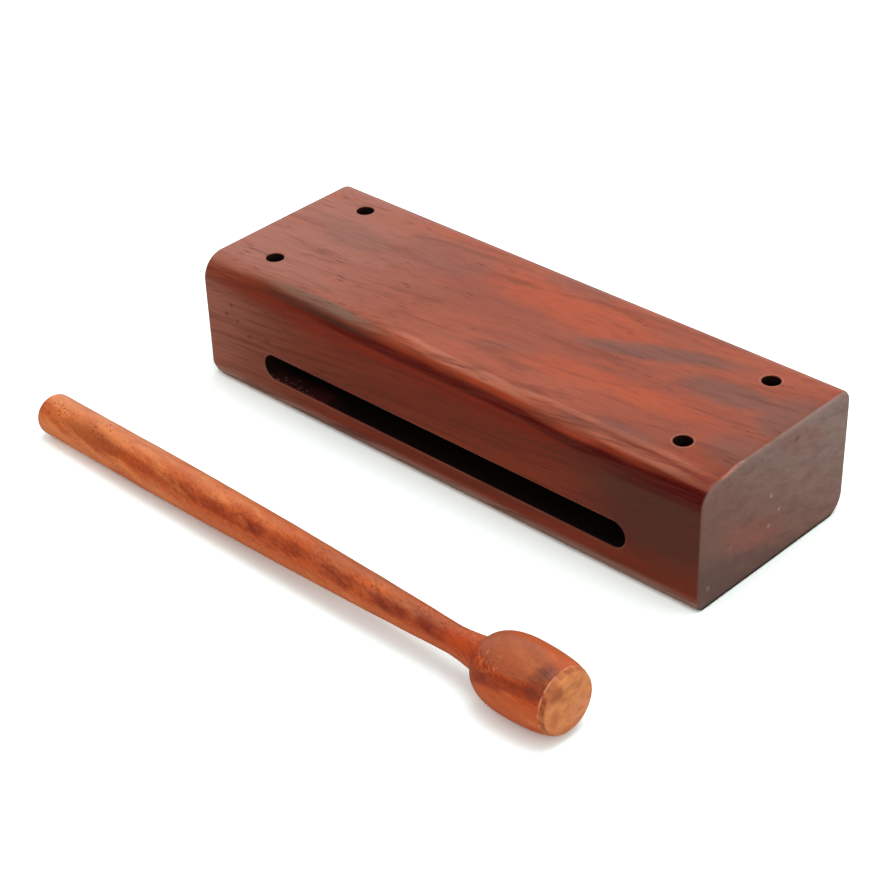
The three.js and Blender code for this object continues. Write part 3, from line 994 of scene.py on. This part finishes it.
# %% Fibres, mottle and pits of the mallet
length_mm = MALLET_LENGTH / MM
fibre = cloud(s / 4, layer / 0.6, side / 0.6, 2, 0.6)
mottle = cloud(s / 1.3, p / 0.8, q / 0.8, 2, 0.7)
large, kept = cells(s / 2.2, layer / 1.1, side / 1.1)
crowd = soft(cloud(s / 9, layer / 3, side / 3, 1), 0.46, 0.62) * soft(s, length_mm, length_mm - 2)
large_pit = soft(large, 0.34, 0.2) * soft(kept, 0.4, 0.5) * crowd
small, kept = cells(s / 1.5, layer / 0.75, side / 0.75)
clusters = soft(blots(s, aslant, ((8, 3), (7, 3)), ((30, 4.2), (6, 2.6))), 0.05, 0.4) * towards_room
small_pit = soft(small, 0.42, 0.22) * soft(kept, 0.34, 0.44) * clusters
pit = either(large_pit * 0.4, small_pit * 0.85)
tint = mixed(pit * 0.8, scaled(tint, 0.68 + fibre * 0.28 + mottle * 0.36), DEEP_RED)

# %% The flat end and the turned rim
rim_s = length_mm - RIM_TO_END / MM
turned_over = soft(s, rim_s, rim_s + 0.5)
arcs = soft(cloud(p / 4, q / 3, 4), 0.36, 0.7)
on_edge = 1 - soft(s, length_mm - 0.9, length_mm - 0.2)
dark_edge = on_edge * (ragged * 0.5 + blot(p, q, (-8, 1), (5, 8), 0.35))
end_tint = laid(PALE_END, (blot(p, q, (5, -5), (7, 7), 0.6), PEACH_AND_HIGHLIGHT), (arcs * 0.6, UMBER),
                (either(dark_edge, blot(p, q, (-5, 6), (3.4, 3.4), 0.6)), DEEP_RED))
# Painted highlights: a pale line along the rim's burr and along the shoulder's crease.
rim_burr_highlight = stripe(s, rim_s, 0.35) * soft(cloud(p / 3, q / 3, 1, 2), 0.36, 0.56)
crease_highlight = stripe(s, length_mm - SHOULDER_TO_END / MM, 0.8)
tint = laid(tint, (turned_over * 0.9, end_tint), (either(rim_burr_highlight * 0.7, crease_highlight * 0.4), PEACH_AND_HIGHLIGHT))

# %% Finish of the mallet
gloss = 0.38 + wander * 0.08 + pit * 0.2 + turned_over * 0.15
finish_wood(tint, gloss, fibre * 0.3 + mottle * 0.3 - pit * 1.2)
print("mallet wood:", len(mallet_wood.node_tree.nodes), "nodes")

# %% [markdown]
# ## Table
#
# The photograph stands on white that keeps a soft shadow. A floor that bounced as much light as it shows would fill
# the block's front and the slot. So the floor is three surfaces, and a Light Path node picks one: white with a little
# glow of its own for the camera, a duller white for the light it passes on, and one duller still for polish, because
# the block's front shows no veil of white in the photograph. The orange mallet throws more of its colour on the
# paper than the photograph shows, so the paper is a little cooler in front of the block.

# %% Floor
FLOOR_HALF = 6
FLOOR_GLOW = 0.02
FLOOR_BOUNCE = 0.78
FLOOR_IN_POLISH = 0.25
PAPER = (0.69, 0.742, 0.722)
PAPER_IN_FRONT = (0.7, 0.82, 0.815)
COOLER_FROM = 16 * MM
COOLER_FULL = 40 * MM

floor_corners = [(x * FLOOR_HALF, y * FLOOR_HALF, 0) for x, y in ((-1, -1), (1, -1), (1, 1), (-1, 1))]
floor = mesh_object("floor", floor_corners, [(0, 1, 2, 3)])
floor_paper = empty_material("floor_paper")
bench = Bench(floor_paper.node_tree)
path = bench.node("ShaderNodeLightPath", {}, {}, "Is Camera Ray")
seen = either(path, path.other("Is Transmission Ray"))
to_front = bench.parts(bench.node("ShaderNodeTexCoord", {}, {}, "Object"))[1]
cooler = soft(to_front, block_low.y - COOLER_FROM, block_low.y - COOLER_FULL)
paper = bench.node("ShaderNodeBsdfDiffuse", {}, {"Color": mixed(cooler, PAPER, PAPER_IN_FRONT)})
glow = bench.node("ShaderNodeEmission", {}, {"Color": (1, 1, 1), "Strength": FLOOR_GLOW})
bright = bench.node("ShaderNodeAddShader", {}, {0: paper, 1: paper})
shown = bench.node("ShaderNodeAddShader", {}, {0: bright, 1: glow})
dull, polished = [bench.node("ShaderNodeBsdfDiffuse", {}, {"Color": (level, level, level)})
                  for level in (FLOOR_BOUNCE, FLOOR_IN_POLISH)]
bounced = bench.node("ShaderNodeMixShader", {}, {"Fac": path.other("Is Glossy Ray"), 1: dull, 2: polished})
cover = bench.node("ShaderNodeMixShader", {}, {"Fac": seen, 1: bounced, 2: shown})
bench.node("ShaderNodeOutputMaterial", {}, {"Surface": cover})
floor.data.materials.append(floor_paper)

# %% [markdown]
# ## Light
#
# Most of the light is the world's, even from all round as in a white tent. A soft sun nearly overhead, a little behind
# the block on the right, lights the top most and leaves the slot side darker. A wide low one from the front right
# fills that side and the end, and adds no shine. Sun lamps light the whole table evenly, which a near area lamp would
# not. Polish sees another world, a white wall behind the block under a dark ceiling, since the photograph has a sheen
# on what looks that way and hardly any on the top. The camera sees plain white.

# %% Lamps and world
def soft_sun(name, azimuth, elevation, width, strength):
    """A sun that shines from an azimuth, counted from +X towards +Y, and an elevation, all in degrees."""
    lamp = bpy.data.lights.new(name, "SUN")
    lamp.angle, lamp.energy = radians(width), strength
    sun = new_object(name, lamp)
    flat = cos(radians(elevation))
    towards = Vector((flat * cos(radians(azimuth)), flat * sin(radians(azimuth)), sin(radians(elevation))))
    sun.rotation_euler = towards.to_track_quat("Z", "Y").to_euler()
    return sun


soft_sun("key", 60, 80, 40, 1.05)
soft_sun("fill", -35, 22, 80, 0.55).visible_glossy = False
WORLD_LEVEL = 0.6
WALL_TOP = 0.6
CEILING_TOP = 0.85
CEILING_LEVEL = 0.02
WALL_FADES_OUT = -0.35
WALL_FULL = 0.25

world = bpy.data.worlds.new("studio")
bpy.context.scene.world = world
world.use_nodes = True
world.node_tree.nodes.clear()
bench = Bench(world.node_tree)
path = bench.node("ShaderNodeLightPath", {}, {}, "Is Camera Ray")
seen = either(path, path.other("Is Glossy Ray"), path.other("Is Transmission Ray"))
room = bench.node("ShaderNodeBackground", {}, {"Color": (1, 1, 1), "Strength": WORLD_LEVEL})
backwards, height = bench.parts(bench.node("ShaderNodeTexCoord", {}, {}, "Generated"))[1:]
wall = soft(height, CEILING_TOP, WALL_TOP) * soft(backwards, WALL_FADES_OUT, WALL_FULL)
wall = either(wall, path) * (1 - CEILING_LEVEL) + CEILING_LEVEL
white = bench.node("ShaderNodeBackground", {}, {"Color": (1, 1, 1), "Strength": wall})
around = bench.node("ShaderNodeMixShader", {}, {"Fac": seen, 1: room, 2: white})
bench.node("ShaderNodeOutputWorld", {}, {"Surface": around})

# %% [markdown]
# ## Handing over
#
# Each piece stands for its imported solid, which is hidden, and rides on that solid's body, so the mallet lifts off
# the table when its joint moves.

# %% Attach the pieces and finish
for piece, node, body, slot in ((block, "block_body", "block", "block_wood"),
                                (mallet, "mallet", "mallet", "mallet_wood")):
    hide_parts(node)
    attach(piece, body)
